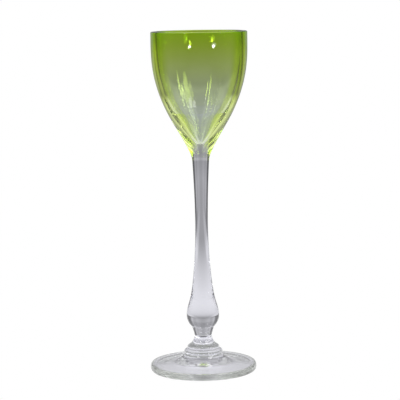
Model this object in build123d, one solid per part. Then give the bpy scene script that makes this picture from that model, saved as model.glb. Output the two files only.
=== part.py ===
from build123d import *
from math import acos, cos, degrees, pi, radians, sin
import os

# A cordial glass in millimetres, +Z up, with its origin at the middle of the surface it stands on.
# Seven gathers of glass, fused end to end: a flashed bowl, a baluster stem, a collar, two rings and a foot.

# Foot
FOOT_RADIUS = 26.2
FOOT_EDGE = 3.4
EDGE_ROUND = 0.8
REST_WIDTH = 2.0
RECESS_DEPTH = 3.0
PONTIL_RADIUS = 5.0
PONTIL_DEPTH = 0.6
PLATE_RISE = 2.3
BOSS_SPREAD = 2.4
BOSS_HEIGHT = 2.8

# Rings between foot and collar: each swells out from its upper seat and tucks in to its lower one
LOWER_MERESE_SWELL = 1.8
LOWER_MERESE_TUCK = 0.5
LOWER_MERESE_DROP = 1.6
LOWER_MERESE_UNDERSIDE = 0.7
UPPER_MERESE_SWELL = 2.0
UPPER_MERESE_TUCK = 0.2
UPPER_MERESE_DROP = 2.0
UPPER_MERESE_UNDERSIDE = 0.5

# Collar under the bulb
COLLAR_SEAT_RADIUS = 5.9
COLLAR_WAIST_RADIUS = 4.2
COLLAR_FLARE_HEIGHT = 4.1
COLLAR_TAPER_HEIGHT = 4.0
BULB_SEAT_RADIUS = 5.35

# Stem, as rises from one place to the next and the radius there
BULB_RISE = 6.1
BULB_RADIUS = 8.0
BULB_SHOULDER_RISE = 7.1
BULB_SHOULDER_RADIUS = 6.45
CALF_RISE = 10.0
CALF_RADIUS = 4.7
SLIM_RISE = 17.8
SLIM_RADIUS = 3.35
STEM_TOP_RISE = 41.6
STEM_TOP_RADIUS = 4.1
TENON_SHOULDER = 0.5
TENON_LENGTH = 6.0
TENON_TIP_RADIUS = 2.8

# Bowl, as rises from one place to the next, with the outside radius and the wall there
NECK_RISE = 6.0
NECK_RADIUS = 6.1
HIP_RISE = 11.0
HIP_RADIUS = 12.3
HIP_WALL = 5.5
FADE_RISE = 7.0
FADE_RADIUS = 16.15
FADE_WALL = 3.75
BELLY_RISE = 7.5
BELLY_RADIUS = 19.35
BELLY_WALL = 2.85
SHOULDER_RISE = 15.0
SHOULDER_RADIUS = 22.95
SHOULDER_WALL = 2.9
RIM_RISE = 16.5
RIM_RADIUS = 23.45
RIM_WALL = 2.9
LIP_RISE = 0.5
FLOOR_THICKNESS = 3.6
CAVITY_TIP_RADIUS = 0.8
CAVITY_ROUND_RISE = 1.5
CAVITY_ROUND_RADIUS = 2.2

# Panels moulded into the inside of the bowl
PANEL_COUNT = 8
PANEL_TURN = -4.0
RIDGE_AT_TIP = 0.1
RIDGE_AT_HIP = 0.35
RIDGE_AT_BELLY = 0.25
CAVITY_SECTIONS = 18

# Green layer over the outside of the bowl
FLASH_AT_RIM = 0.5
FLASH_AT_EDGE = 0.15
FLASH_PLACES = 6

# Heights of the seams, from the table up
PLATE_TOP = FOOT_EDGE + PLATE_RISE
FOOT_TOP = PLATE_TOP + BOSS_HEIGHT
LOWER_MERESE_TOP = FOOT_TOP + LOWER_MERESE_UNDERSIDE + LOWER_MERESE_DROP
UPPER_MERESE_TOP = LOWER_MERESE_TOP + UPPER_MERESE_UNDERSIDE + UPPER_MERESE_DROP
COLLAR_WAIST = UPPER_MERESE_TOP + COLLAR_FLARE_HEIGHT
COLLAR_TOP = COLLAR_WAIST + COLLAR_TAPER_HEIGHT
BULB = COLLAR_TOP + BULB_RISE
BULB_SHOULDER = BULB + BULB_SHOULDER_RISE
CALF = BULB_SHOULDER + CALF_RISE
SLIM = CALF + SLIM_RISE
STEM_TOP = SLIM + STEM_TOP_RISE
TENON_TOP = STEM_TOP + TENON_LENGTH
TENON_RADIUS = STEM_TOP_RADIUS - TENON_SHOULDER
CAVITY_FLOOR = TENON_TOP + FLOOR_THICKNESS
NECK = STEM_TOP + NECK_RISE
HIP = NECK + HIP_RISE
FADE = HIP + FADE_RISE
BELLY = FADE + BELLY_RISE
SHOULDER = BELLY + SHOULDER_RISE
RIM = SHOULDER + RIM_RISE

# The stem flares three times as fast where it meets the bowl as it does on average
STEM_FLARE = (STEM_TOP_RADIUS - SLIM_RADIUS, STEM_TOP_RISE / 3)

# Radii of the seams below the collar
RING_SEAT_RADIUS = COLLAR_SEAT_RADIUS + UPPER_MERESE_SWELL - UPPER_MERESE_TUCK
BOSS_SEAT_RADIUS = RING_SEAT_RADIUS + LOWER_MERESE_SWELL - LOWER_MERESE_TUCK

# The fire-polished lip is half an ellipse as wide as the wall
LIP_HALF = RIM_WALL / 2
LIP = RIM - LIP_RISE
LIP_CENTRE = RIM_RADIUS - LIP_HALF


def turned(*outline):
    """The solid that an outline of edges, as radius and height, makes when it is turned about +Z."""
    return revolve(Plane.XZ * make_face(outline), axis=Axis.Z)


def merese(top, top_radius, swell, drop, tuck, underside):
    """A flattened ring of glass: two flat seats with a rounded edge that swells and tucks in again."""
    bottom = top - drop - underside
    girth = (top_radius + swell, top - drop)
    bottom_radius = top_radius + swell - tuck
    return turned(
        Line((0, top), (top_radius, top)),
        Spline((top_radius, top), girth, tangents=((swell, -drop), (0, -1))),
        EllipticalCenterArc((bottom_radius, top - drop), tuck, underside, start_angle=-90, arc_size=90),
        Line((bottom_radius, bottom), (0, bottom)),
        Line((0, bottom), (0, top)),
    )


def foot():
    """The disc foot: a cone hollowed out below, with a ground pontil mark, swept up above into the boss."""
    rest_outside = FOOT_RADIUS - EDGE_ROUND
    rest_inside = rest_outside - REST_WIDTH
    plate_radius = BOSS_SEAT_RADIUS + BOSS_SPREAD
    pontil_top = (0, RECESS_DEPTH + PONTIL_DEPTH)
    pontil_edge = (PONTIL_RADIUS, RECESS_DEPTH)
    edge_top = (rest_outside, FOOT_EDGE)
    seat = (BOSS_SEAT_RADIUS, FOOT_TOP)
    plate_slope = (plate_radius - rest_outside, PLATE_RISE)
    boss_slope = (-BOSS_SPREAD / 2, BOSS_HEIGHT)
    return turned(
        TangentArc(pontil_top, pontil_edge, tangent=(1, 0)),
        Line(pontil_edge, (rest_inside, 0)),
        Line((rest_inside, 0), (rest_outside, 0)),
        EllipticalCenterArc(
            (rest_outside, FOOT_EDGE / 2), EDGE_ROUND, FOOT_EDGE / 2, start_angle=-90, arc_size=180
        ),
        Spline(edge_top, (plate_radius, PLATE_TOP), seat, tangents=(plate_slope, boss_slope)),
        Line(seat, (0, FOOT_TOP)),
        Line((0, FOOT_TOP), pontil_top),
    )


def stem_collar():
    """The waisted spool between the upper ring and the bulb."""
    foot_edge = (COLLAR_SEAT_RADIUS, UPPER_MERESE_TOP)
    waist = (COLLAR_WAIST_RADIUS, COLLAR_WAIST)
    top_edge = (BULB_SEAT_RADIUS, COLLAR_TOP)
    return turned(
        Line((0, UPPER_MERESE_TOP), foot_edge),
        TangentArc(waist, foot_edge, tangent=(0, -1)),
        Line(waist, top_edge),
        Line(top_edge, (0, COLLAR_TOP)),
        Line((0, COLLAR_TOP), (0, UPPER_MERESE_TOP)),
    )


def tenon():
    """The tapered top of the stem that sits in the bowl's neck, as edges from the shoulder to the axis."""
    root = (TENON_RADIUS, STEM_TOP)
    tip = (TENON_TIP_RADIUS, TENON_TOP)
    return [Line(root, tip), Line(tip, (0, TENON_TOP))]


def stem():
    """The drawn stem: a round bulb below, a long slim waist, and a flare up to the bowl."""
    seat = (BULB_SEAT_RADIUS, COLLAR_TOP)
    bulb = (BULB_RADIUS, BULB)
    top = (STEM_TOP_RADIUS, STEM_TOP)
    return turned(
        Line((0, COLLAR_TOP), seat),
        TangentArc(bulb, seat, tangent=(0, -1)),
        Spline(
            bulb,
            (BULB_SHOULDER_RADIUS, BULB_SHOULDER),
            (CALF_RADIUS, CALF),
            (SLIM_RADIUS, SLIM),
            top,
            tangents=((0, 1), STEM_FLARE),
        ),
        Line(top, (TENON_RADIUS, STEM_TOP)),
        *tenon(),
        Line((0, TENON_TOP), (0, COLLAR_TOP)),
    )


# Where the flash starts, the bowl's outside runs in line with the places below and above
FADE_SLOPE = (BELLY_RADIUS - HIP_RADIUS, BELLY - HIP)


# How far round the lip the green layer reaches, in degrees from the outside
FLASH_TURN = degrees(acos((LIP_HALF - FLASH_AT_RIM) / LIP_HALF))


def lip(start, end):
    """The lip's edge between two turns from the outside of the rim, in degrees."""
    return EllipticalCenterArc((LIP_CENTRE, LIP), LIP_HALF, LIP_RISE, start_angle=start, arc_size=end - start)


def flash_outside():
    """The bowl's outside over the green layer, from the layer's lower edge up to the lip."""
    return Spline(
        (FADE_RADIUS, FADE),
        (BELLY_RADIUS, BELLY),
        (SHOULDER_RADIUS, SHOULDER),
        (RIM_RADIUS, LIP),
        tangents=(FADE_SLOPE, (0, 1)),
    )


def flash_inside():
    """The bowl's own surface under the green layer, which thickens evenly from its edge to the rim."""
    outside = flash_outside()
    places = []
    for index in range(FLASH_PLACES + 1):
        share = index / FLASH_PLACES
        along = outside % share
        thickness = FLASH_AT_EDGE + (FLASH_AT_RIM - FLASH_AT_EDGE) * share
        places.append(outside @ share + Vector(-along.Y, along.X) * thickness)
    return Spline(*places, tangents=(FADE_SLOPE, (0, 1)))


def flash_seam():
    """Where the green layer meets the bowl: the step at its lower edge, its inside, and up into the lip."""
    inside = flash_inside()
    return [
        Line((FADE_RADIUS, FADE), inside @ 0),
        inside,
        Line(inside @ 1, lip(0, FLASH_TURN) @ 1),
    ]


def green_flash():
    """The green layer: a tapered shell over the bowl's outside that ends in the outer part of the lip."""
    return turned(flash_outside(), lip(0, FLASH_TURN), *flash_seam())


def cavity_profile():
    """The inside of the bowl along the middle of a panel, from the rounded floor up to the lip."""
    return Spline(
        (CAVITY_TIP_RADIUS, CAVITY_FLOOR),
        (CAVITY_ROUND_RADIUS, CAVITY_FLOOR + CAVITY_ROUND_RISE),
        (HIP_RADIUS - HIP_WALL, HIP),
        (FADE_RADIUS - FADE_WALL, FADE),
        (BELLY_RADIUS - BELLY_WALL, BELLY),
        (SHOULDER_RADIUS - SHOULDER_WALL, SHOULDER),
        (RIM_RADIUS - RIM_WALL, LIP),
    )


def ridge_height(height):
    """How far the ridge between two panels stands in from them. It dies away at the lip."""
    if height < HIP:
        share = (height - CAVITY_FLOOR) / (HIP - CAVITY_FLOOR)
        return RIDGE_AT_TIP + (RIDGE_AT_HIP - RIDGE_AT_TIP) * share
    if height < BELLY:
        share = (height - HIP) / (BELLY - HIP)
        return RIDGE_AT_HIP + (RIDGE_AT_BELLY - RIDGE_AT_HIP) * share
    return RIDGE_AT_BELLY * (LIP - height) / (LIP - BELLY)


def panelled_section(radius, height):
    """A level section of the cavity: one arc for each panel, meeting at the ridges."""
    step = 2 * pi / PANEL_COUNT
    ridge_radius = radius - ridge_height(height)
    arcs = []
    for panel in range(PANEL_COUNT):
        middle = step * panel + radians(PANEL_TURN) - pi / 2
        start, end = middle - step / 2, middle + step / 2
        arcs.append(
            ThreePointArc(
                (ridge_radius * cos(start), ridge_radius * sin(start)),
                (radius * cos(middle), radius * sin(middle)),
                (ridge_radius * cos(end), ridge_radius * sin(end)),
            )
        )
    return Pos(0, 0, height) * make_face(arcs)


def cavity():
    """The space inside the bowl, lofted through panelled sections."""
    profile = cavity_profile()
    places = [profile @ (index / CAVITY_SECTIONS) for index in range(CAVITY_SECTIONS + 1)]
    return loft([panelled_section(place.X, place.Y) for place in places])


def bowl():
    """The blown bowl: its outside under the green layer, its neck round the tenon, and its cavity."""
    neck_edge = (STEM_TOP_RADIUS, STEM_TOP)
    lip_inside = (RIM_RADIUS - RIM_WALL, LIP)
    form = turned(
        *tenon(),
        Line((TENON_RADIUS, STEM_TOP), neck_edge),
        Spline(
            neck_edge,
            (NECK_RADIUS, NECK),
            (HIP_RADIUS, HIP),
            (FADE_RADIUS, FADE),
            tangents=(STEM_FLARE, FADE_SLOPE),
        ),
        *flash_seam(),
        lip(FLASH_TURN, 180),
        Line(lip_inside, (0, LIP)),
        Line((0, LIP), (0, TENON_TOP)),
    )
    return form - cavity()


pieces = {
    "foot": foot(),
    "lower_merese": merese(
        LOWER_MERESE_TOP,
        RING_SEAT_RADIUS,
        LOWER_MERESE_SWELL,
        LOWER_MERESE_DROP,
        LOWER_MERESE_TUCK,
        LOWER_MERESE_UNDERSIDE,
    ),
    "upper_merese": merese(
        UPPER_MERESE_TOP,
        COLLAR_SEAT_RADIUS,
        UPPER_MERESE_SWELL,
        UPPER_MERESE_DROP,
        UPPER_MERESE_TUCK,
        UPPER_MERESE_UNDERSIDE,
    ),
    "stem_collar": stem_collar(),
    "stem": stem(),
    "bowl": bowl(),
    "green_flash": green_flash(),
}

os.makedirs("parts", exist_ok=True)
for name, piece in pieces.items():
    export_step(piece, f"parts/{name}.step")
    print(f"{name}: {piece.volume:.0f} mm3, {len(piece.solids())} solid")
print(f"height {RIM:.1f} mm, rim {2 * RIM_RADIUS:.1f} mm, foot {2 * FOOT_RADIUS:.1f} mm across")
print(f"holds {cavity().volume / 1000:.1f} ml to the lip")
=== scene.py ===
# %% [markdown]
# # A cordial glass
# The real glass is seven gathers of hot glass, fused end to end: foot, two rings, collar, stem, bowl and
# a thin green layer over the bowl. The CAD frame holds each as a solid at its real size, in flat
# triangles. In glass every facet would bend the light its own way, and smoothing them would move the
# surface. So each piece is turned again here as a smooth skin in the same place and given a glass finish.

# %% Load the frame
import math

import bmesh
import bpy
import numpy as np
from mathutils import Matrix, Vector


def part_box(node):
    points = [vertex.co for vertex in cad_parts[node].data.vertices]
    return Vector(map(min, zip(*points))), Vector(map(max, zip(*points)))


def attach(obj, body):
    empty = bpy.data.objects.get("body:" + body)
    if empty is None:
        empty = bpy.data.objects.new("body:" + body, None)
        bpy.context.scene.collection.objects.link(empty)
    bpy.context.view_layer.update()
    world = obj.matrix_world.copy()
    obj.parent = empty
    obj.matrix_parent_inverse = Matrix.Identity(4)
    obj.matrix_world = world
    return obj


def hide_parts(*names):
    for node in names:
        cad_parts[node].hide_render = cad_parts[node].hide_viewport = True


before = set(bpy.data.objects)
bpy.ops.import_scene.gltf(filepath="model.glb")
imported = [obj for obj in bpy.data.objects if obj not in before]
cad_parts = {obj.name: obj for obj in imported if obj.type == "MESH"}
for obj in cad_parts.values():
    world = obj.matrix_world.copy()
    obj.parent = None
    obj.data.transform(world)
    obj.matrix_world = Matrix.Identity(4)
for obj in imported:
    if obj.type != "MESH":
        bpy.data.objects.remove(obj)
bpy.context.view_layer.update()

MM = 0.001

# %% [markdown]
# ## Heights and radii
# Everything on this glass is round, so a piece is a list of places, each a radius and a height. Typed in,
# they would stay behind when the CAD changes. So the seams and the widest places are read from the CAD
# boxes, and what lies between them is written further down in millimetres, as in the CAD.

# %% Read the levels from the frame


def bottom(node):
    """The lowest height of a CAD node, in millimetres."""
    return float(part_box(node)[0][2]) / MM


def top(node):
    """The highest height of a CAD node, in millimetres."""
    return float(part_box(node)[1][2]) / MM


def widest(node):
    """The largest radius of a CAD node, in millimetres."""
    return float(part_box(node)[1][0]) / MM


FOOT_TOP = bottom("lower_merese")
LOWER_MERESE_TOP = bottom("upper_merese")
UPPER_MERESE_TOP = bottom("stem_collar")
COLLAR_TOP = bottom("stem")
STEM_TOP = bottom("bowl")
TENON_TOP = top("stem")
FADE = bottom("green_flash")
RIM = top("bowl")
RIM_RADIUS = widest("green_flash")
FOOT_RADIUS = widest("foot")
SEAMS = (FOOT_TOP, LOWER_MERESE_TOP, UPPER_MERESE_TOP, COLLAR_TOP, STEM_TOP)
print("seams at", [round(seam, 1) for seam in SEAMS], "mm")

# %% [markdown]
# ## Lines for a turner
# A glassmaker thinks of an outline as a few lines and bends. Bezier curves could draw them, but their
# handles are hard to keep in step with sizes, so each kind of line is a short formula. `straight` joins
# two places, `bend` is part of an ellipse, and `tangent_bend` is the arc that sets off upright. Their
# points lie so close that the skin looks smooth.

# %% Straight lines and bends
POINT_STEP = 0.4
BEND_STEP = POINT_STEP / 2
BEND_LEAST = 9


def points_along(length, step, least=2):
    """How many points a line of that length gets."""
    return max(least, round(float(length) / step) + 1)


def straight(start, end):
    """Points on a straight line from start to end."""
    start, end = np.array(start, float), np.array(end, float)
    share = np.linspace(0, 1, points_along(np.linalg.norm(end - start), POINT_STEP))[:, None]
    return start + (end - start) * share


def bend(centre, radii, start, end):
    """Points on part of an ellipse about centre, from one angle to another, in degrees."""
    length = math.radians(abs(end - start)) * max(abs(radii[0]), abs(radii[1]))
    turn = np.radians(np.linspace(start, end, points_along(length, BEND_STEP, BEND_LEAST)))
    return np.column_stack([centre[0] + radii[0] * np.cos(turn), centre[1] + radii[1] * np.sin(turn)])


def tangent_bend(start, end):
    """Points on the circle that leaves start upright, or straight down, and passes through end."""
    across, rise = start[0] - end[0], end[1] - start[1]
    radius = (across**2 + rise**2) / (2 * across)
    turn = math.degrees(math.asin(rise / radius))
    return bend((start[0] - radius, start[1]), (radius, radius), 0, turn)


print("a quarter bend of 10 mm gets", len(bend((0, 0), (10, 10), 0, 90)), "points")

# %% [markdown]
# ## Flowing lines
# Drawn glass has no corners: the stem runs from bulb to flare in one sweep. A chain of arcs would jerk at
# every join, and reflections show that. So `flowing` lays a cubic curve through its places, the way a
# bent batten does, with its slopes solved together. Its two ends can be given a direction.

# %% A smooth curve through places


def flow_slopes(places, runs, leave, arrive):
    """The slope at each place. leave and arrive are directions, or None for a loose end."""
    count = len(places)
    system, wanted = np.zeros((count, count)), np.zeros((count, 2))
    for i in range(1, count - 1):
        before, after = runs[i - 1], runs[i]
        system[i, i - 1:i + 2] = after, 2 * (before + after), before
        wanted[i] = 3 * (
            after * (places[i] - places[i - 1]) / before + before * (places[i + 1] - places[i]) / after
        )
    for row, beside, way, run in ((0, 1, leave, runs[0]), (count - 1, count - 2, arrive, runs[-1])):
        if way is None:
            system[row, row], system[row, beside] = 2, 1
            wanted[row] = 3 * (places[max(row, beside)] - places[min(row, beside)]) / run
        else:
            system[row, row] = 1
            wanted[row] = np.array(way, float) / np.linalg.norm(way)
    return np.linalg.solve(system, wanted)


def flowing(places, leave=None, arrive=None, step=POINT_STEP):
    """Points on a smooth curve through places, with directions for its two ends."""
    places = np.array(places, float)
    runs = np.linalg.norm(np.diff(places, axis=0), axis=1)
    slopes = flow_slopes(places, runs, leave, arrive)
    points = []
    for i, run in enumerate(runs):
        share = np.linspace(0, 1, points_along(run, step))[:-1, None]
        points.append(
            (2 * share**3 - 3 * share**2 + 1) * places[i]
            + (share**3 - 2 * share**2 + share) * run * slopes[i]
            + (3 * share**2 - 2 * share**3) * places[i + 1]
            + (share**3 - share**2) * run * slopes[i + 1]
        )
    return np.vstack(points + [places[-1:]])


print("a curve through three places gets", len(flowing([(0, 0), (5, 2), (6, 8)])), "points")

# %% [markdown]
# ## A lathe made of nodes
# Every piece follows one rule: an outline is spun about the upright axis. The Screw modifier spins too,
# but it can't mark seams or press panels into the bowl. Geometry Nodes can do all of it, in one tree that
# every piece shares.

# %% The lathe's inputs
AROUND = 256
PANEL_COUNT = 8
FRONT, PANEL_ASIDE = -90, -4
LATHE_INPUTS = (
    ("Outline", "Geometry", None),
    ("Around", "Int", AROUND),
    ("Panels", "Int", PANEL_COUNT),
    ("Panel turn", "Float", math.radians(FRONT + PANEL_ASIDE)),
    ("Glass", "Material", None),
    ("Seam", "Material", None),
)

tree = bpy.data.node_groups.new("glass_lathe", "GeometryNodeTree")
tree.interface.new_socket("Geometry", in_out="OUTPUT", socket_type="NodeSocketGeometry")
for name, kind, value in LATHE_INPUTS:
    socket = tree.interface.new_socket(name, in_out="INPUT", socket_type="NodeSocket" + kind)
    if value is not None:
        socket.default_value = value
SOCKETS = {item.name: item.identifier for item in tree.interface.items_tree if item.in_out == "INPUT"}
print("lathe inputs:", ", ".join(SOCKETS))

# %% [markdown]
# ## Kinds of node
# The tree needs dozens of nodes, but of only a few kinds. Wired one by one, they would hide the idea
# behind them. So one helper adds a node and fills in or links its inputs, and each kind of node gets a
# short method.

# %% The kinds of node


def add_node(tree, kind, inputs=None, **settings):
    """A node with its settings and inputs. An input that is another node's output is linked."""
    node = tree.nodes.new(kind)
    for key, value in settings.items():
        setattr(node, key, value)
    for key, value in (inputs or {}).items():
        if hasattr(value, "is_output"):
            tree.links.new(value, node.inputs[key])
        else:
            node.inputs[key].default_value = value
    return node


class Lathe:
    """The lathe's tree, what its inputs are given, and its kinds of node."""

    def __init__(self, tree):
        self.tree = tree
        self.given = add_node(tree, "NodeGroupInput").outputs

    def add(self, kind, inputs=None, **settings):
        """A geometry node."""
        return add_node(self.tree, "GeometryNode" + kind, inputs, **settings)

    def maths(self, operation, *values):
        """The result of a maths node on numbers or outputs."""
        node = add_node(self.tree, "ShaderNodeMath", dict(enumerate(values)), operation=operation)
        return node.outputs[0]

    def split(self, place):
        """The X, Y and Z of a place."""
        return add_node(self.tree, "ShaderNodeSeparateXYZ", {0: place}).outputs

    def named(self, name):
        """The number that is stored under a name."""
        return self.add("InputNamedAttribute", {"Name": name}, data_type="FLOAT").outputs["Attribute"]

    def on_outline(self, value, index, kind="FLOAT"):
        """A value read from one point of the outline."""
        wires = {"Geometry": self.given["Outline"], "Value": value, "Index": index}
        return self.add("SampleIndex", wires, data_type=kind, domain="POINT").outputs["Value"]

    def store(self, geometry, name, domain, kind, value):
        """The geometry with a value stored under a name."""
        wires = {"Geometry": geometry, "Name": name, "Value": value}
        return self.add("StoreNamedAttribute", wires, data_type=kind, domain=domain).outputs["Geometry"]


LATHE = Lathe(tree)
print("kinds of node:", ", ".join(name for name in vars(Lathe) if not name.startswith("_")))

# %% [markdown]
# ## From grid to turned skin
# The object starts as its bare outline, a chain of points in one plane. The tree lays out a flat grid
# with a row for each of them, looks up its radius and height, and rolls the grid up. Inside the bowl the
# wall also thickens with the square of the distance from a panel's middle, by a depth stored on each
# point, so panels are soft and the ridges between them crisp.

# %% Lay out a grid and roll it up
HALF = 0.5
FULL_TURN = 2 * math.pi
SPARE_PANELS = 100


def flat_grid(lathe):
    """A grid with one row for each outline point. Its points know their row and share of the turn."""
    size = lathe.add("AttributeDomainSize", {"Geometry": lathe.given["Outline"]}, component="MESH")
    rows = size.outputs["Point Count"]
    columns = lathe.maths("ADD", lathe.given["Around"], 1)
    grid = lathe.add("MeshGrid", {"Size X": 1.0, "Size Y": 1.0, "Vertices X": rows, "Vertices Y": columns})
    spot = lathe.split(lathe.add("InputPosition").outputs[0])
    along = lathe.maths("ADD", spot["X"], HALF)
    row = lathe.maths("ROUND", lathe.maths("MULTIPLY", along, lathe.maths("SUBTRACT", rows, 1)))
    marked = lathe.store(grid.outputs["Mesh"], "row", "POINT", "FLOAT", row)
    return lathe.store(marked, "share", "POINT", "FLOAT", lathe.maths("ADD", spot["Y"], HALF))


def rolled_up(lathe, grid):
    """The grid with every point moved to its place on the turned skin."""
    row = lathe.named("row")
    place = lathe.add("InputPosition").outputs[0]
    place = lathe.split(lathe.on_outline(place, row, "FLOAT_VECTOR"))
    angle = lathe.maths("MULTIPLY", lathe.named("share"), FULL_TURN)
    turned = lathe.maths("SUBTRACT", angle, lathe.given["Panel turn"])
    panels = lathe.maths("MULTIPLY", lathe.maths("MULTIPLY", turned, 1 / FULL_TURN), lathe.given["Panels"])
    # The spare panels keep the count positive.
    panel = lathe.maths("FRACT", lathe.maths("ADD", panels, SPARE_PANELS + HALF))
    across = lathe.maths("MULTIPLY", lathe.maths("SUBTRACT", panel, HALF), 2)
    depth = lathe.on_outline(lathe.named("ridge"), row)
    ridge = lathe.maths("MULTIPLY", depth, lathe.maths("MULTIPLY", across, across))
    radius = lathe.maths("SUBTRACT", place["X"], ridge)
    spun = {
        "X": lathe.maths("MULTIPLY", radius, lathe.maths("COSINE", angle)),
        "Y": lathe.maths("MULTIPLY", radius, lathe.maths("SINE", angle)),
        "Z": place["Z"],
    }
    position = add_node(lathe.tree, "ShaderNodeCombineXYZ", spun).outputs[0]
    return lathe.add("SetPosition", {"Geometry": grid, "Position": position}).outputs[0]


skin = rolled_up(LATHE, flat_grid(LATHE))
print("nodes so far:", len(LATHE.tree.nodes))

# %% [markdown]
# ## Creases and seams
# A rolled-up grid is open where its edges meet, and its poles are many points in one place. Merging
# closes both. Where two stretches of an outline meet, the edge is marked sharp, so that shading never
# creeps from a seam onto the polish beside it. Fused stretches get the seam's material instead of the
# glass.

# %% Crease, close and hand out materials
ON_ROW = 0.25
MERGE_WITHIN = 1e-7


def closed_skin(lathe, skin):
    """The skin with its creases and seams marked, its edges merged and its materials set."""
    row = lathe.named("row")
    on_ring = lathe.maths("LESS_THAN", lathe.maths("FRACT", row), ON_ROW)
    corner = lathe.on_outline(lathe.named("corner"), lathe.maths("ROUND", row))
    crease = lathe.maths("MULTIPLY", on_ring, lathe.maths("GREATER_THAN", corner, HALF))
    fused = lathe.on_outline(lathe.named("fused"), lathe.maths("FLOOR", row))
    skin = lathe.store(skin, "sharp_edge", "EDGE", "BOOLEAN", crease)
    skin = lathe.store(skin, "fused_face", "FACE", "FLOAT", fused)
    seams = lathe.maths("GREATER_THAN", lathe.named("fused_face"), HALF)
    for kind, wires in (
        ("MergeByDistance", {"Distance": MERGE_WITHIN}),
        ("SetShadeSmooth", {}),
        ("RealizeInstances", {}),
        ("SetMaterial", {"Material": lathe.given["Glass"]}),
        ("SetMaterial", {"Material": lathe.given["Seam"], "Selection": seams}),
    ):
        skin = lathe.add(kind, {"Geometry": skin, **wires}).outputs[0]
    return skin


add_node(LATHE.tree, "NodeGroupOutput", {"Geometry": closed_skin(LATHE, skin)})
print("nodes in the whole lathe:", len(LATHE.tree.nodes))

# %% [markdown]
# ## An outline for the lathe
# An outline is a list of stretches in order round the section, each fused to a neighbour or not. It
# starts and ends on the axis, or comes back to its start. A curve object could hold it, but the lathe
# has to know more of a point than its place: whether it is fused, how deep the ridges are there and
# whether a stretch starts at it. A mesh carries such values as attributes, so the outline is a chain of
# mesh edges.

# %% Lay the stretches end to end
POINT_NOTES = ("fused", "ridge", "corner")


class Stretch:
    """A run of the outline: fused or not, and how deep the panel ridges are along it."""

    def __init__(self, points, fused=False, ridge=None):
        self.points = np.array(points, float)
        self.fused = fused
        self.ridge = np.zeros(len(self.points)) if ridge is None else np.array(ridge, float)


def outline_mesh(name, stretches):
    """The stretches end to end, as a chain of points with what the lathe needs to know of each."""
    rows = []
    for stretch in stretches:
        for i, (radius, height) in enumerate(stretch.points[:-1]):
            rows.append((radius, height, stretch.fused, stretch.ridge[i] * MM, i == 0))
    last = stretches[-1]
    rows.append((*last.points[-1], False, last.ridge[-1] * MM, True))
    mesh = bpy.data.meshes.new(name + "_outline")
    places = [(max(row[0], 0.0) * MM, 0.0, row[1] * MM) for row in rows]
    mesh.from_pydata(places, [(i, i + 1) for i in range(len(places) - 1)], [])
    for column, label in enumerate(POINT_NOTES, start=2):
        values = [float(row[column]) for row in rows]
        mesh.attributes.new(label, "FLOAT", "POINT").data.foreach_set("value", values)
    return mesh


print("an outline point carries its place and", ", ".join(POINT_NOTES))

# %% [markdown]
# ## From outline to piece
# The lathe could stay on a piece as a live modifier, but a finished piece has to be a plain mesh. So the
# result is frozen, and what only the lathe needed is removed. An outline can run either way round its
# section, and one way gives a skin that is inside out, with a volume below zero. Such a skin is turned to
# face outwards, and every skin is measured.

# %% Turn one piece


def face_outwards(mesh):
    """Turns an inside-out mesh round. Gives its volume in mm3 and its number of open edges."""
    check = bmesh.new()
    check.from_mesh(mesh)
    volume = check.calc_volume(signed=True)
    open_edges = sum(not edge.is_manifold for edge in check.edges)
    if volume < 0:
        bmesh.ops.reverse_faces(check, faces=check.faces)
        check.to_mesh(mesh)
    check.free()
    return abs(volume) / MM**3, open_edges


def turn_piece(name, stretches, glass, seam):
    """A closed mesh object: the stretches, spun by the lathe and frozen to a plain mesh."""
    outline = outline_mesh(name, stretches)
    piece = bpy.data.objects.new(name, outline)
    bpy.context.scene.collection.objects.link(piece)
    lathe = piece.modifiers.new("lathe", "NODES")
    lathe.node_group = LATHE.tree
    for label, value in (("Around", AROUND), ("Glass", glass), ("Seam", seam)):
        lathe[SOCKETS[label]] = value
    spun = bpy.data.meshes.new_from_object(piece.evaluated_get(bpy.context.evaluated_depsgraph_get()))
    piece.modifiers.clear()
    piece.data = spun
    spun.name = name
    bpy.data.meshes.remove(outline)
    for label in ("row", "share", "fused_face"):
        spun.attributes.remove(spun.attributes[label])
    volume, open_edges = face_outwards(spun)
    print(f"{name}: {len(spun.polygons)} faces, {volume:.0f} mm3, {open_edges} open edges")
    return piece


print("each piece gets", AROUND, "columns around")

# %% [markdown]
# ## Tools for finishes
# A finish is a small network of shader nodes. Images could be painted on instead, but a formula stays
# sharp at any distance. Patterns read Object coordinates, and the pieces sit at the origin, so a height
# in a pattern is a height above the table.

# %% Helpers for shader nodes


def add(holder, kind, inputs=None, **settings):
    """A shader node in a material or a world."""
    return add_node(holder.node_tree, "ShaderNode" + kind, inputs, **settings)


def maths(holder, operation, *values):
    """The result of a maths node on numbers or outputs."""
    return add(holder, "Math", dict(enumerate(values)), operation=operation).outputs[0]


def ramp(holder, value, start, end, low=0.0, high=1.0, soft=False):
    """A number that goes from low to high while value goes from start to end."""
    limits = {0: value, 1: start, 2: end, 3: low, 4: high}
    return add(holder, "MapRange", limits, interpolation_type="SMOOTHSTEP" if soft else "LINEAR").outputs[0]


def object_place(material, scale=(1, 1, 1)):
    """Object coordinates, stretched by scale."""
    place = add(material, "TexCoord").outputs["Object"]
    return add(material, "Mapping", {"Vector": place, "Scale": scale}).outputs[0]


def height_in_mm(material):
    """The height above the table, in millimetres."""
    place = add(material, "TexCoord").outputs["Object"]
    return maths(material, "DIVIDE", add(material, "SeparateXYZ", {0: place}).outputs["Z"], MM)


print("patterns reach from the table up to", round(RIM, 1), "mm")

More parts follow.
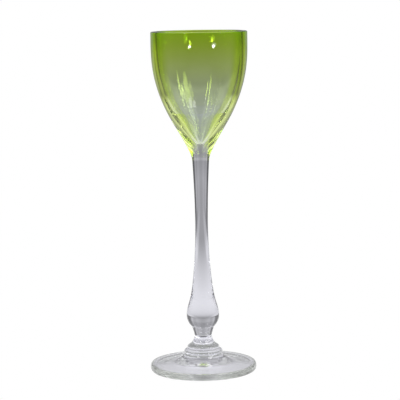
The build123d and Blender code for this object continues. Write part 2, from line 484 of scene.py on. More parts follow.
# %% [markdown]
# ## Glass
# Glass lets light through, bends it by its index and mirrors a little, as the Principled shader does.
# Hand-made glass is never quite even: drawn glass has faint upright cords, which bend what lies behind.
# They are too shallow to model, so a smooth noise, stretched along the height, becomes a bump, with
# hardly any on the pressed foot. Fine wear makes the roughness drift, and the underside of the foot is
# scuffed.

# %% The shared glass
GLASS_INDEX = 1.5
CORDS_AT_FOOT, CORDS_GROW_OVER = 0.1, 12.0
VEIL_SCALE, VEIL_DETAIL = 90.0, 4.0
VEIL_FROM, VEIL_TO = 0.55, 0.8
SCUFFED_BELOW, SCUFF_ENDS_OVER, SCUFF = 3.7, 0.5, 0.15


def noise(material, scale, detail, stretch=(1, 1, 1)):
    """Cloudy numbers from 0 to 1, on Object coordinates."""
    wires = {"Vector": object_place(material, stretch), "Scale": scale, "Detail": detail}
    return add(material, "TexNoise", wires).outputs[0]


def glass_shader(material, tint, cord_scale, cord_depth, wear):
    """The shared glass: a tint, drawn cords as bump, and wear as roughness."""
    height = height_in_mm(material)
    drawn = ramp(material, height, FOOT_TOP, FOOT_TOP + CORDS_GROW_OVER, CORDS_AT_FOOT, 1.0)
    cords = maths(material, "MULTIPLY", noise(material, 1.0, 0.0, cord_scale), drawn)
    bump = add(material, "Bump", {"Strength": 1.0, "Distance": cord_depth * MM, "Height": cords})
    veil = ramp(material, noise(material, VEIL_SCALE, VEIL_DETAIL), VEIL_FROM, VEIL_TO, 0.0, wear)
    scuffed = ramp(material, height, SCUFFED_BELOW, SCUFFED_BELOW + SCUFF_ENDS_OVER, SCUFF, 0.0)
    return add(
        material,
        "BsdfPrincipled",
        {
            "Base Color": tint,
            "Roughness": maths(material, "ADD", veil, scuffed),
            "IOR": GLASS_INDEX,
            "Transmission Weight": 1.0,
            "Normal": bump.outputs[0],
        },
    )


print("the glass bends light by an index of", GLASS_INDEX)

# %% [markdown]
# ## Clear glass
# Foot, rings, collar and stem are of one clear glass with a slight lilac cast. At the edge of the foot
# you look through a long way of it, and it turns a greenish grey. Absorption inside the glass would do
# that too, but slowly, so the tint goes by the distance from the axis.

# %% The clear glass
LILAC_CAST = (0.93, 0.93, 1.0, 1.0)
FOOT_EDGE_CAST = (0.88, 0.92, 0.86, 1.0)
EDGE_CAST_FROM, EDGE_CAST_TO = FOOT_RADIUS - 1.8, FOOT_RADIUS - 0.6
STEM_SURFACE = {"cord_scale": (300, 300, 25), "cord_depth": 0.004, "wear": 0.03}


def fill(holder, build, output="OutputMaterial"):
    """A material or a world whose surface is the shader that build makes in it."""
    holder.use_nodes = True
    holder.node_tree.nodes.clear()
    add(holder, output, {"Surface": build(holder).outputs[0]})
    return holder


def new_finish(build):
    """A material that is named after the function that builds it."""
    return fill(bpy.data.materials.new(build.__name__), build)


def blend_tints(material, share, first, second, how="MIX"):
    """A colour between two, or their product."""
    # A Mix node takes its two colours at 6 and 7 and gives the result at 2.
    wires = {0: share, 6: first, 7: second}
    return add(material, "Mix", wires, data_type="RGBA", blend_type=how).outputs[2]


def length_of(material, place):
    """How far a place lies from the origin."""
    return add(material, "VectorMath", {0: place}, operation="LENGTH").outputs["Value"]


def distance_from_axis(material):
    """The distance from the upright axis, in millimetres."""
    return maths(material, "DIVIDE", length_of(material, object_place(material, (1, 1, 0))), MM)


def clear_glass(material):
    """Clear glass with a lilac cast, greenish at the edge of the foot."""
    edge = ramp(material, distance_from_axis(material), EDGE_CAST_FROM, EDGE_CAST_TO)
    tint = blend_tints(material, edge, LILAC_CAST, FOOT_EDGE_CAST)
    return glass_shader(material, tint, **STEM_SURFACE)


CLEAR_GLASS = new_finish(clear_glass)
print("clear glass:", len(CLEAR_GLASS.node_tree.nodes), "nodes")

# %% [markdown]
# ## Pale glass
# The bowl's own glass is nearly clear where you look straight through its wall. Where the wall turns away
# you look along it, through much more glass, and it glows yellow-green. Layer Weight tells how far a face
# is turned away, so it mixes the two colours. On the outside of the thick low wall the colour sets in
# sooner. The neck is mixed with the stem's lilac and pales, and the lip, seen end on, is always green.

# %% The pale glass
PALE_GREEN = (0.945, 1.0, 0.955, 1.0)
EDGE_GREEN = (0.80, 1.0, 0.14, 1.0)
NECK_GREEN = (0.93, 1.0, 0.5, 1.0)
LIP_GREEN = (0.72, 0.9, 0.2, 1.0)
THIN_WALL_SLANT, THICK_WALL_SLANT = (0.28, 0.55), (0.12, 0.32)
WALL_MIDDLE, WALL_MIDDLE_LEAN = (9.65, 121.0), 0.68
THICK_UP_TO, THIN_ABOVE = FADE - 1.0, FADE + 5.0
NECK_FROM, NECK_TO, LILAC_TO = STEM_TOP + 1.0, STEM_TOP + 9.0, STEM_TOP + 10.0
LIP_FROM, LIP_TO = RIM - 1.2, RIM - 0.4
BOWL_SURFACE = {"cord_scale": (160, 160, 30), "cord_depth": 0.01, "wear": 0.02}


def edge_tint(material, starts, full, face_on=PALE_GREEN, edge_on=EDGE_GREEN):
    """One colour face on and another where light runs along the wall. starts and full are slants."""
    slant = add(material, "LayerWeight", {"Blend": 0.5}).outputs["Facing"]
    return blend_tints(material, ramp(material, slant, starts, full, soft=True), face_on, edge_on)


def thick_low_wall(material, height):
    """1 on the outside of the thick low wall, 0 on the inside and where the wall is thin."""
    leaning = maths(material, "MULTIPLY_ADD", height, -WALL_MIDDLE_LEAN, distance_from_axis(material))
    middle = WALL_MIDDLE[0] - WALL_MIDDLE_LEAN * WALL_MIDDLE[1]
    outside = maths(material, "GREATER_THAN", leaning, middle)
    low = ramp(material, height, THICK_UP_TO, THIN_ABOVE, 1.0, 0.0)
    return maths(material, "MULTIPLY", outside, low)


def pale_green_glass(material):
    """The bowl's own glass: nearly clear face on, yellow-green edge on."""
    height = height_in_mm(material)
    above_neck = ramp(material, height, NECK_FROM, NECK_TO)
    thick = maths(material, "MULTIPLY", thick_low_wall(material, height), above_neck)
    starts, full = (
        ramp(material, thick, 0.0, 1.0, thin, thick_wall)
        for thin, thick_wall in zip(THIN_WALL_SLANT, THICK_WALL_SLANT)
    )
    face_on = blend_tints(material, ramp(material, height, NECK_FROM, LILAC_TO), LILAC_CAST, PALE_GREEN)
    edge_on = blend_tints(material, above_neck, NECK_GREEN, EDGE_GREEN)
    wall = edge_tint(material, starts, full, face_on, edge_on)
    tint = blend_tints(material, ramp(material, height, LIP_FROM, LIP_TO), wall, LIP_GREEN)
    return glass_shader(material, tint, **BOWL_SURFACE)


PALE_GLASS = new_finish(pale_green_glass)
print("pale glass:", len(PALE_GLASS.node_tree.nodes), "nodes")

# %% [markdown]
# ## Green that fades
# The green was gathered over the tip of the bubble and thinned out as it was blown. Its colour is what it
# takes away: almost all the blue, some red. A plain mix from green to clear would fade through dull
# tones, because glass half as thick takes half as much in the exponent. So the tint is an exponential of
# a thickness that falls away down the bowl. Light meets two faces of the layer in front and two behind,
# so each takes a quarter. The polished outside is told a half, because the glass shader uses the square
# root of its colour. The hidden face is a plain film, which also colours the light inside the wall.

# %% The green layer
TAKEN_AT_RIM = (0.50, 0.06, 4.3)
FADE_LENGTH = 12.5
OUTSIDE_SHARE, FILM_SHARE = 0.5, 0.25
PATCH_SCALE, PATCH_DETAIL = 60.0, 2.0
THINNEST_PATCH, PATCH_SPAN = 0.88, 0.24


def green_tint(material, face_share):
    """The colour that one face of the layer leaves, by height."""
    below_rim = maths(material, "SUBTRACT", RIM, height_in_mm(material))
    patches = noise(material, PATCH_SCALE, PATCH_DETAIL)
    uneven = maths(material, "MULTIPLY_ADD", patches, PATCH_SPAN, THINNEST_PATCH)
    thickness = maths(material, "EXPONENT", maths(material, "DIVIDE", below_rim, -FADE_LENGTH))
    thickness = maths(material, "MULTIPLY", thickness, uneven)
    left = [
        maths(material, "EXPONENT", maths(material, "MULTIPLY", thickness, -taken * face_share))
        for taken in TAKEN_AT_RIM
    ]
    return add(material, "CombineColor", dict(enumerate(left))).outputs[0]


def green_glass(material):
    """The polished outside of the green layer, over the yellow-green of the wall behind it."""
    layer, wall = green_tint(material, OUTSIDE_SHARE), edge_tint(material, *THIN_WALL_SLANT)
    tint = blend_tints(material, 1.0, layer, wall, "MULTIPLY")
    return glass_shader(material, tint, **BOWL_SURFACE)


def green_film(material):
    """The hidden face of the layer: light crosses it unbent and is tinted."""
    return add(material, "BsdfTransparent", {"Color": green_tint(material, FILM_SHARE)})


GREEN_GLASS, GREEN_FILM = new_finish(green_glass), new_finish(green_film)
print("light left at the rim:", [round(math.exp(-taken), 2) for taken in TAKEN_AT_RIM])

# %% [markdown]
# ## Fused seams
# Where two gathers were fused there is no surface left, so nothing may bend or mirror light there. One
# skin for all would do that, but each piece has to stay closed by itself. So fused faces get a material
# that lets light straight through, and the two skins stand a hundredth of a millimetre apart, so that
# they never share a plane.

# %% The seam
SEAM_GAP = 0.005
WHITE = (1, 1, 1, 1)


def fused_seam(material):
    """A face inside fused glass: light passes as if it weren't there."""
    return add(material, "BsdfTransparent", {"Color": WHITE})


FUSED = new_finish(fused_seam)
print("fused skins stand", 2 * SEAM_GAP, "mm apart")

# %% [markdown]
# ## The foot
# The foot is a gather pressed flat with a paddle: a thin disc with a rounded edge, swept up in the middle
# into a boss. Underneath it is hollow, so that it stands on a ring, and the pontil scar in the middle was
# ground to a shallow dish. A bevelled cylinder would lack the hollow, so one outline runs from the middle
# of the underside to the middle of the seat.

# %% Turn the foot
FOOT_EDGE = 3.4
EDGE_ROUND = 0.8
REST_WIDTH = 2.0
RECESS_DEPTH = 3.0
PONTIL_RADIUS = 5.0
PONTIL_DEPTH = 0.6
PLATE_RISE = 2.3
BOSS_SPREAD = 2.4
BOSS_SEAT_RADIUS = 9.0


def foot_outline():
    """The foot's section, from the middle of its underside round to the middle of its seat."""
    rest_outside = FOOT_RADIUS - EDGE_ROUND
    rest_inside = rest_outside - REST_WIDTH
    plate = (BOSS_SEAT_RADIUS + BOSS_SPREAD, FOOT_EDGE + PLATE_RISE)
    edge_top = (rest_outside, FOOT_EDGE)
    seat = (BOSS_SEAT_RADIUS, FOOT_TOP)
    seat_middle = (0, FOOT_TOP - SEAM_GAP)
    slope = (plate[0] - rest_outside, PLATE_RISE)
    rise = (-BOSS_SPREAD / 2, FOOT_TOP - plate[1])
    return [
        Stretch(flowing([(0, RECESS_DEPTH + PONTIL_DEPTH), (PONTIL_RADIUS, RECESS_DEPTH)], leave=(1, 0))),
        Stretch(straight((PONTIL_RADIUS, RECESS_DEPTH), (rest_inside, 0))),
        Stretch(straight((rest_inside, 0), (rest_outside, 0))),
        Stretch(bend((rest_outside, FOOT_EDGE / 2), (EDGE_ROUND, FOOT_EDGE / 2), -90, 90)),
        Stretch(flowing([edge_top, plate, seat], leave=slope, arrive=rise)),
        Stretch(straight(seat, seat_middle), fused=True),
    ]


foot = turn_piece("foot_glass", foot_outline(), CLEAR_GLASS, FUSED)

# %% [markdown]
# ## The two rings
# On the foot sit two flattened rings, which glassmakers call mereses. Each was a small gather, squeezed
# with the jacks while it turned. A torus would be round all over, but these tuck in quickly underneath
# and lean in slowly above, so their section is a quarter ellipse and a flowing line.

# %% Turn the rings
RING_SEAT_RADIUS = 7.7
COLLAR_SEAT_RADIUS = 5.9
RING_STEP = POINT_STEP / 3
RING_SEATS = (
    (BOSS_SEAT_RADIUS, FOOT_TOP),
    (RING_SEAT_RADIUS, LOWER_MERESE_TOP),
    (COLLAR_SEAT_RADIUS, UPPER_MERESE_TOP),
)
RING_UNDERSIDES = {"lower_merese": 0.7, "upper_merese": 0.5}


def merese_outline(low_seat, high_seat, girth_radius, underside):
    """The section of a ring between two seats, each a radius and a height."""
    low_radius, low = low_seat[0], low_seat[1] + SEAM_GAP
    high_radius, high = high_seat[0], high_seat[1] - SEAM_GAP
    girth = low_seat[1] + underside
    tuck = bend((low_radius, girth), (girth_radius - low_radius, girth - low), -90, 0)
    lean = flowing(
        [(girth_radius, girth), (high_radius, high)],
        leave=(0, 1),
        arrive=(high_radius - girth_radius, high - girth),
        step=RING_STEP,
    )
    return [
        Stretch(straight((0, low), (low_radius, low)), fused=True),
        Stretch(np.vstack([tuck[:-1], lean])),
        Stretch(straight((high_radius, high), (0, high)), fused=True),
    ]


lower_merese, upper_merese = (
    turn_piece(node + "_glass", merese_outline(low, high, widest(node), underside), CLEAR_GLASS, FUSED)
    for (node, underside), low, high in zip(RING_UNDERSIDES.items(), RING_SEATS, RING_SEATS[1:])
)

# %% [markdown]
# ## The collar
# Between the rings and the bulb is a short waisted spool. It flares down to the ring in one arc, which
# stands upright at the waist, and opens upwards as a plain cone. A curve through places would round the
# waist off, so it is made of an arc and a straight line.

# %% Turn the collar
COLLAR_WAIST_RADIUS = 4.2
COLLAR_FLARE_HEIGHT = 4.1
BULB_SEAT_RADIUS = 5.35


def collar_outline():
    """The spool's section, flared below and coned above."""
    low, high = UPPER_MERESE_TOP + SEAM_GAP, COLLAR_TOP - SEAM_GAP
    waist = (COLLAR_WAIST_RADIUS, UPPER_MERESE_TOP + COLLAR_FLARE_HEIGHT)
    flare = tangent_bend(waist, (COLLAR_SEAT_RADIUS, low))[::-1]
    return [
        Stretch(straight((0, low), (COLLAR_SEAT_RADIUS, low)), fused=True),
        Stretch(flare),
        Stretch(straight(waist, (BULB_SEAT_RADIUS, high))),
        Stretch(straight((BULB_SEAT_RADIUS, high), (0, high)), fused=True),
    ]


stem_collar = turn_piece("stem_collar_glass", collar_outline(), CLEAR_GLASS, FUSED)

# %% [markdown]
# ## The stem
# The stem was drawn from one gather: a bulb left at the bottom, a long slim waist, and a flare where it
# was pulled from the bowl. Its top is a short tapered tenon inside the bowl's neck. A rod with a ball
# would show a join, so everything above the bulb's girth is one flowing line.

# %% Turn the stem
BULB_RADIUS = widest("stem")
BULB = COLLAR_TOP + 6.1
BULB_SHOULDER = (6.45, BULB + 7.1)
CALF = (4.7, BULB_SHOULDER[1] + 10.0)
SLIM = (3.35, CALF[1] + 17.8)
STEM_TOP_RADIUS = 4.1
STEM_FLARE = (STEM_TOP_RADIUS - SLIM[0], (STEM_TOP - SLIM[1]) / 3)
TENON_SHOULDER = 0.5
TENON_RADIUS = STEM_TOP_RADIUS - TENON_SHOULDER
TENON_TIP_RADIUS = 2.8


def stem_outline():
    """The stem's section, from its seat on the collar to the tip of the tenon."""
    low = COLLAR_TOP + SEAM_GAP
    bulb = (BULB_RADIUS, BULB)
    shoulder, root = STEM_TOP - SEAM_GAP, TENON_RADIUS - SEAM_GAP
    tip = (TENON_TIP_RADIUS - SEAM_GAP, TENON_TOP - SEAM_GAP)
    under_bulb = tangent_bend(bulb, (BULB_SEAT_RADIUS, low))[::-1]
    drawn = flowing(
        [bulb, BULB_SHOULDER, CALF, SLIM, (STEM_TOP_RADIUS, shoulder)], leave=(0, 1), arrive=STEM_FLARE
    )
    return [
        Stretch(straight((0, low), (BULB_SEAT_RADIUS, low)), fused=True),
        Stretch(np.vstack([under_bulb[:-1], drawn])),
        Stretch(straight((STEM_TOP_RADIUS, shoulder), (root, shoulder)), fused=True),
        Stretch(straight((root, shoulder), tip), fused=True),
        Stretch(straight(tip, (0, tip[1])), fused=True),
    ]


stem = turn_piece("stem_glass", stem_outline(), CLEAR_GLASS, FUSED)

# %% [markdown]
# ## Where green and bowl meet
# The green layer lies in a recess of the bowl, and the two share one rounded lip, a flat half ellipse.
# Two separate outlines would drift apart when a size changes. So the layer's outside is drawn once, and
# its hidden face is that line moved in by the thickness.

# %% Lines that bowl and layer share
NECK = (6.1, STEM_TOP + 6.0)
HIP = (12.3, NECK[1] + 11.0)
FADE_RADIUS = 16.15
BELLY = (19.35, FADE + 7.5)
SHOULDER = (22.95, BELLY[1] + 15.0)
FADE_SLOPE = (BELLY[0] - HIP[0], BELLY[1] - HIP[1])
RIM_WALL = 2.9
LIP_HALF, LIP_RISE = RIM_WALL / 2, 0.5
LIP = RIM - LIP_RISE
LIP_CENTRE = RIM_RADIUS - LIP_HALF
FLASH_AT_RIM, FLASH_AT_EDGE = 0.5, 0.15


def flash_outside():
    """The outside of the green layer, from its lower edge to the lip."""
    places = [(FADE_RADIUS, FADE), BELLY, SHOULDER, (RIM_RADIUS, LIP)]
    return flowing(places, leave=FADE_SLOPE, arrive=(0, 1))


def flash_inside(gap):
    """The outside moved in by the layer's thickness and a gap, up to the lip."""
    outside = flash_outside()
    along = np.gradient(outside, axis=0)
    along /= np.linalg.norm(along, axis=1)[:, None]
    share = np.linspace(0, 1, len(outside))[:, None]
    thickness = FLASH_AT_EDGE + (FLASH_AT_RIM - FLASH_AT_EDGE) * share + gap
    return outside + np.column_stack([-along[:, 1], along[:, 0]]) * thickness


def lip_bend(start_inset, end_inset):
    """The lip's half ellipse between two places, each given by its distance from the outside."""
    start, end = (math.degrees(math.acos(1 - inset / LIP_HALF)) for inset in (start_inset, end_inset))
    return bend((LIP_CENTRE, LIP), (LIP_HALF, LIP_RISE), start, end)


print("the green layer's line has", len(flash_outside()), "points")

# %% [markdown]
# ## The bowl
# The bubble was blown into a ribbed mould and then blown on, which leaves soft panels inside while the
# outside is smooth. The ridges between them are deepest low in the bowl and die away towards the lip. The
# cavity is a cone with a rounded tip. Solidify would give an even wall, but this one is nearly twice as
# thick at the hip as at the rim. So the inside has a line of its own, set by the wall at each place.

# %% Turn the bowl
HIP_WALL, FADE_WALL, BELLY_WALL, SHOULDER_WALL = 5.5, 3.75, 2.85, 2.9
CAVITY_FLOOR = TENON_TOP + 3.6
CAVITY_TIP_RADIUS = 0.8
CAVITY_ROUND = (2.2, CAVITY_FLOOR + 1.5)
RIDGE_AT = ((CAVITY_FLOOR, 0.1), (HIP[1], 0.35), (BELLY[1], 0.25), (LIP, 0.0))


def cavity():
    """The inside along a panel's middle, from lip to floor, with the ridges' depth."""
    places = [
        (CAVITY_TIP_RADIUS, CAVITY_FLOOR),
        CAVITY_ROUND,
        (HIP[0] - HIP_WALL, HIP[1]),
        (FADE_RADIUS - FADE_WALL, FADE),
        (BELLY[0] - BELLY_WALL, BELLY[1]),
        (SHOULDER[0] - SHOULDER_WALL, SHOULDER[1]),
        (RIM_RADIUS - RIM_WALL, LIP),
    ]
    points = flowing(places)[::-1]
    heights, depths = zip(*RIDGE_AT)
    return points, np.interp(points[:, 1], heights, depths)


def bowl_outline():
    """The bowl's section: socket, neck, outside, seam with the green layer, lip and cavity."""
    low = STEM_TOP + SEAM_GAP
    root, tip = (TENON_RADIUS + SEAM_GAP, low), (TENON_TIP_RADIUS + SEAM_GAP, TENON_TOP + SEAM_GAP)
    foot_of_neck, edge = (STEM_TOP_RADIUS, low), (FADE_RADIUS, FADE - SEAM_GAP)
    under = flash_inside(SEAM_GAP)
    under[0, 1] = edge[1]
    lip = lip_bend(FLASH_AT_RIM + SEAM_GAP, RIM_WALL)
    inside, ridge = cavity()
    polished = np.vstack([lip[:-1], inside, [[0, CAVITY_FLOOR]]])
    return [
        Stretch(straight((0, tip[1]), tip), fused=True),
        Stretch(straight(tip, root), fused=True),
        Stretch(straight(root, foot_of_neck), fused=True),
        Stretch(flowing([foot_of_neck, NECK, HIP, edge], leave=STEM_FLARE, arrive=FADE_SLOPE)),
        Stretch(straight(edge, under[0]), fused=True),
        Stretch(np.vstack([under, lip[:1]]), fused=True),
        Stretch(polished, ridge=[0] * (len(lip) - 1) + list(ridge) + [0]),
    ]


bowl = turn_piece("bowl_glass", bowl_outline(), PALE_GLASS, FUSED)

# %% [markdown]
# ## The green layer
# The layer can't be lifted off, yet it is a gather of its own. Painting the bowl green would look alike
# from the front, but at the lip the layer shows as a thin ring, so it is a closed skin too. Its outline
# is a loop: up the outside, over its share of the lip and down the hidden face, which carries the green
# film instead of the plain seam.

# %% Turn the green layer


def flash_outline():
    """The layer's section, a closed loop: outside, its share of the lip, hidden face, lower edge."""
    outside, inside = flash_outside(), flash_inside(-SEAM_GAP)
    lip = lip_bend(0, FLASH_AT_RIM - SEAM_GAP)
    return [
        Stretch(np.vstack([outside, lip[1:]])),
        Stretch(np.vstack([lip[-1:], inside[::-1]]), fused=True),
        Stretch(straight(inside[0], outside[0]), fused=True),
    ]


green_flash = turn_piece("green_flash_glass", flash_outline(), GREEN_GLASS, GREEN_FILM)

# %% [markdown]
# ## Into the frame
# Each skin takes the place of the CAD solid it was turned from, because both together would bend the
# light twice. The glass has no joints, so everything rides on one body.

# %% Hand the pieces over
PIECES = {
    "foot": (foot, "clear_glass"),
    "lower_merese": (lower_merese, "clear_glass"),
    "upper_merese": (upper_merese, "clear_glass"),
    "stem_collar": (stem_collar, "clear_glass"),
    "stem": (stem, "clear_glass"),
    "bowl": (bowl, "pale_green_glass"),
    "green_flash": (green_flash, "green_glass"),
}
for node, (piece, finish) in PIECES.items():
    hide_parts(node)
    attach(piece, "root")
print(len(PIECES), "pieces stand for", len(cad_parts), "solids")

# %% [markdown]
# ## Shades of the room
# Glass shows only what is around it. The picture behind the glass is white, but what the glass bends into
# view is a grey room. A photograph could be wrapped round the scene, but a few greys are enough: one list
# holds the brightness at each height, another the share left at each turn from straight ahead, left and
# right alike. A colour ramp goes from step to step of a list.

# %% The shades of the room
BACKDROP_AT = (
    (-20, 0.355), (-8, 0.33), (-5, 0.342), (-4.1, 0.36), (-2.7, 0.285), (-1.5, 0.315), (0.5, 0.37),
    (5, 0.385), (8.5, 0.37), (11, 0.31), (17, 0.29), (24, 0.26), (29, 0.28), (44, 0.50), (60, 0.50),
    (80, 0.30),
)
SHARE_AROUND = (
    (0, 1.04), (4, 1.06), (9, 1.18), (16, 1.3), (22, 1.1), (28, 1.25), (33, 1.5), (39, 0.68), (46, 0.4),
    (60, 0.26), (75, 0.28), (95, 0.75), (135, 0.75), (155, 0.5), (180, 0.5),
)


def shade_ramp(world, place, steps):
    """A grey that goes from step to step, each a place between 0 and 1 and a brightness."""
    shades = add(world, "ValToRGB", {0: place})
    stops = shades.color_ramp.elements
    for i, (at, shade) in enumerate(steps):
        stop = stops[i] if i < len(stops) else stops.new(at)
        stop.position = at
        stop.color = (shade, shade, shade, 1)
    return shades.outputs[0]


print("room shades:", len(BACKDROP_AT), "by height,", len(SHARE_AROUND), "around")

# %% [markdown]
# ## The room
# In each direction the room is as bright as its height says, times the share of its turn. A glow high on
# each side lights the thick parts. Two more lamps could do that, but their edges would show in the glass,
# so the glow is a soft part of the room. To the camera the room is white.

# %% The room
HALF_TURN = 180
HIGH_SIDE, HIGH_SIDE_GLOW = (0.64, 0.0, 0.77), 1.3
GLOW_FROM, GLOW_FULL = 0.86, 0.95


def room_brightness(world):
    """How bright the room is in each direction."""
    part = add(world, "SeparateXYZ", {0: add(world, "TexCoord").outputs["Generated"]})
    ahead, up = part.outputs["Y"], part.outputs["Z"]
    across = maths(world, "ABSOLUTE", part.outputs["X"])
    raised = maths(world, "MULTIPLY_ADD", up, HALF, HALF)
    heights = [((math.sin(math.radians(angle)) + 1) * HALF, shade) for angle, shade in BACKDROP_AT]
    turned = maths(world, "DIVIDE", maths(world, "ARCTAN2", across, ahead), math.pi)
    turns = [(angle / HALF_TURN, share) for angle, share in SHARE_AROUND]
    folded = add(world, "CombineXYZ", {0: across, 1: ahead, 2: up}).outputs[0]
    beside = add(world, "VectorMath", {0: folded, 1: HIGH_SIDE}, operation="DOT_PRODUCT").outputs["Value"]
    glow = ramp(world, beside, GLOW_FROM, GLOW_FULL, 0.0, HIGH_SIDE_GLOW, soft=True)
    by_height, by_turn = shade_ramp(world, raised, heights), shade_ramp(world, turned, turns)
    return maths(world, "MULTIPLY_ADD", by_height, by_turn, glow)


def studio_room(world):
    """White to the camera, and a grey room to everything else."""
    grey = add(world, "Background", {"Color": WHITE, "Strength": room_brightness(world)})
    white = add(world, "Background", {"Color": WHITE, "Strength": 1.0})
    seen = add(world, "LightPath").outputs["Is Camera Ray"]
    return add(world, "MixShader", {0: seen, 1: grey.outputs[0], 2: white.outputs[0]})


bpy.context.scene.world = fill(bpy.data.worlds.new("studio_room"), studio_room, "OutputWorld")
print("the room glows by", HIGH_SIDE_GLOW, "high on each side")

# %% [markdown]
# ## Light on the table
# The glass stands on a pale table, which fills stem and bulb with light. A lit plane would need many more
# samples, so the table glows by itself: bright near the glass, dimmer behind and in front, with a pool of
# light at the back on each side and a small soft shadow behind the foot.

# %% The light on the table
TABLE_BRIGHT, TABLE_DIM = 0.88, 0.36
BRIGHT_UP_TO, DIM_BEYOND = -0.01, 0.37
FRONT_FROM, FRONT_TO, FRONT_SHARE = -0.15, 0.0, 0.3
POOL_ASIDE, POOL_ASIDE_FULL, POOL_GAIN = 0.08, 0.13, 0.4
POOL_BEHIND, POOL_BEHIND_FULL = 0.12, 0.22
FAR_ASIDE, FAR_ASIDE_FULL, FAR_SHARE = 0.2, 0.3, 0.4
SHADOW_BEHIND, SHADOW_HALF_WIDTH, SHADOW_HALF_LENGTH = 0.040, 0.018, 0.019
SHADOW_CORE, SHADOW_SHARE = 0.45, 0.2


def table_shadow(material, place):
    """What the soft shadow behind the foot leaves of the light."""
    stretch = {
        "Vector": place,
        "Location": (0, -SHADOW_BEHIND / SHADOW_HALF_LENGTH, 0),
        "Scale": (1 / SHADOW_HALF_WIDTH, 1 / SHADOW_HALF_LENGTH, 0),
    }
    rounded = add(material, "Mapping", stretch).outputs[0]
    return ramp(material, length_of(material, rounded), SHADOW_CORE, 1.0, SHADOW_SHARE, 1.0, soft=True)


def table_light(material, place):
    """How bright the table is at each place."""
    apart = add(material, "SeparateXYZ", {0: place})
    back, side = apart.outputs["Y"], maths(material, "ABSOLUTE", apart.outputs["X"])
    aside = ramp(material, side, POOL_ASIDE, POOL_ASIDE_FULL, 0.0, POOL_GAIN, soft=True)
    behind = ramp(material, back, POOL_BEHIND, POOL_BEHIND_FULL, soft=True)
    light = ramp(material, back, BRIGHT_UP_TO, DIM_BEYOND, TABLE_BRIGHT, TABLE_DIM, soft=True)
    shares = (
        ramp(material, back, FRONT_FROM, FRONT_TO, FRONT_SHARE, 1.0),
        maths(material, "MULTIPLY_ADD", aside, behind, 1.0),
        ramp(material, side, FAR_ASIDE, FAR_ASIDE_FULL, 1.0, FAR_SHARE, soft=True),
        table_shadow(material, place),
    )
    for share in shares:
        light = maths(material, "MULTIPLY", light, share)
    return light


print("the table's light goes from", TABLE_BRIGHT, "near the glass to", TABLE_DIM, "behind it")

# %% [markdown]
# ## The table
# The table shows no edge or horizon. A sheet that curves up behind the glass would hide both, but it
# turns grey where it curves. So the table is a flat disc, which is plain white to the camera and melts
# away at its edge. It belongs to the stage, not to the glass.

# %% The table
TABLE_RADIUS, TABLE_SIDES, TABLE_DROP = 0.75, 96, 0.0002
MELTS_FROM = 0.6 * TABLE_RADIUS


def pale_table(material):
    """White to the camera, and a glow to everything else. It fades out at the edge of the table."""
    place = add(material, "TexCoord").outputs["Object"]
    seen = add(material, "LightPath").outputs["Is Camera Ray"]
    # A Mix node takes its two numbers at 2 and 3.
    shade = add(material, "Mix", {0: seen, 2: table_light(material, place), 3: 1.0}).outputs[0]
    glow = add(material, "Emission", {"Color": WHITE, "Strength": shade}).outputs[0]
    clear = add(material, "BsdfTransparent").outputs[0]
    whole = ramp(material, length_of(material, place), MELTS_FROM, TABLE_RADIUS, 1.0, 0.0, soft=True)
    return add(material, "MixShader", {0: whole, 1: clear, 2: glow})


bpy.ops.mesh.primitive_circle_add(vertices=TABLE_SIDES, radius=TABLE_RADIUS, fill_type="NGON")
table = bpy.context.object
table.name = "table_top"
table.location.z = -TABLE_DROP
table.data.materials.append(new_finish(pale_table))
print("the table is", 2 * TABLE_RADIUS, "m across")

# %% [markdown]
# ## Lamps
# Softboxes on the left and right draw the bright streaks down the panels, and a narrow strip adds a
# second strand on the right. Small lamps level with the rim draw the glints under it, and a dim, wider
# one on each side gives them a halo. In the stem they would leave specks, which a studio flags off with
# black card. Here light linking does that: the rim lamps light bowl and green layer alone.

# %% Place the lamps
LAMP_AWAY, AIM_HEIGHT = 0.9, 0.14
SOFT_LAMPS = (
    ("right_softbox", 49, 39, 0.36, 0.70, 4.5),
    ("right_strip", 67, 25, 0.08, 0.32, 8.0),
    ("left_softbox", -37, 37, 0.06, 0.54, 12.0),
)
RIM_LAMPS = (
    ("rim_lamp", 34, -1.6, 0.12, 0.017, 40.0),
    ("rim_lamp_high", 28, 1.0, 0.08, 0.016, 70.0),
    ("rim_lamp_left", -22, -1.6, 0.06, 0.014, 60.0),
    ("rim_halo", 35, -1.3, 0.20, 0.022, 4.0),
    ("rim_halo_left", -22, -1.5, 0.14, 0.018, 3.0),
)


def place_lamp(name, azimuth, elevation, width, height, radiance):
    """An oval lamp that faces the glass. Azimuth 0 is in front and grows to the right, in degrees."""
    lamp = bpy.data.lights.new(name, "AREA")
    lamp.shape = "ELLIPSE"
    lamp.size, lamp.size_y = width, height
    lamp.energy = radiance * math.pi * (math.pi / 4 * width * height)
    stand = bpy.data.objects.new(name, lamp)
    swing = Matrix.Rotation(math.radians(azimuth), 4, "Z")
    tilt = Matrix.Rotation(math.radians(90 - elevation), 4, "X")
    aim, away = Matrix.Translation((0, 0, AIM_HEIGHT)), Matrix.Translation((0, 0, LAMP_AWAY))
    stand.matrix_world = aim @ swing @ tilt @ away
    stand.visible_camera = False
    bpy.context.scene.collection.objects.link(stand)
    return stand


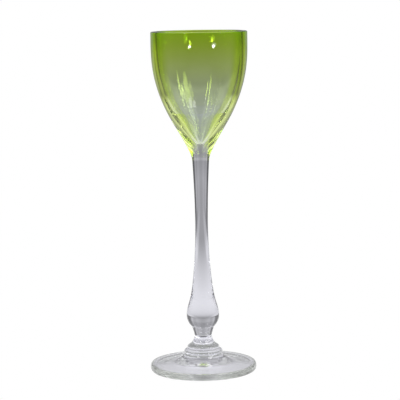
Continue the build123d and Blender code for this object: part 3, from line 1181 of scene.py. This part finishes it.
bowl_only = bpy.data.collections.new("bowl_only")
for piece in (bowl, green_flash):
    bowl_only.objects.link(piece)
for setting in SOFT_LAMPS:
    place_lamp(*setting)
for setting in RIM_LAMPS:
    place_lamp(*setting).light_linking.receiver_collection = bowl_only
print("lamps:", ", ".join(setting[0] for setting in SOFT_LAMPS + RIM_LAMPS))

# %% [markdown]
# ## Camera
# The photograph was taken with a long lens a little above the rim, held a touch askew. The lens is given
# as a focal length in pixels, as it was found from the ovals of rim and foot. A Track To constraint could
# aim the camera, but tilt and roll are easier to say as plain turns.

# %% Place the camera
CAMERA_AWAY, CAMERA_HEIGHT, CAMERA_ASIDE = 0.7656, 0.186, -0.0006
PITCH_DOWN, ROLL = math.radians(7.55), math.radians(-0.85)
FOCAL_PIXELS, FRAME_PIXELS = 1575, 400
SENSOR = 36.0
NEAREST = 0.01

camera = bpy.data.cameras.new("camera")
camera.sensor_width = SENSOR
camera.lens = SENSOR * FOCAL_PIXELS / FRAME_PIXELS
camera.clip_start = NEAREST
eye = bpy.data.objects.new("camera", camera)
eye.matrix_world = (
    Matrix.Translation((CAMERA_ASIDE, -CAMERA_AWAY, CAMERA_HEIGHT))
    @ Matrix.Rotation(math.radians(90) - PITCH_DOWN, 4, "X")
    @ Matrix.Rotation(ROLL, 4, "Z")
)
bpy.context.scene.collection.objects.link(eye)
bpy.context.scene.camera = eye
print(f"a {camera.lens:.0f} mm lens, {CAMERA_AWAY} m in front and {CAMERA_HEIGHT} m up")

# %% [markdown]
# ## Light paths
# A ray crosses many faces in a glass, so it is allowed many bends before it is given up for dark, and
# still more crossings of the clear seams. The Standard view shows the shades as they were set.

# %% Let light go all the way through
MOST_BENDS, MOST_MIRRORS, MOST_SEAMS = 48, 24, 96
scene = bpy.context.scene
scene.view_settings.view_transform = "Standard"
scene.cycles.max_bounces = MOST_BENDS
scene.cycles.transmission_bounces = MOST_BENDS
scene.cycles.glossy_bounces = MOST_MIRRORS
scene.cycles.transparent_max_bounces = MOST_SEAMS
print("a ray may bend", MOST_BENDS, "times and cross", MOST_SEAMS, "seams")

# %% [markdown]
# ## Sizes
# The skins have to stay inside the box of the CAD solids.
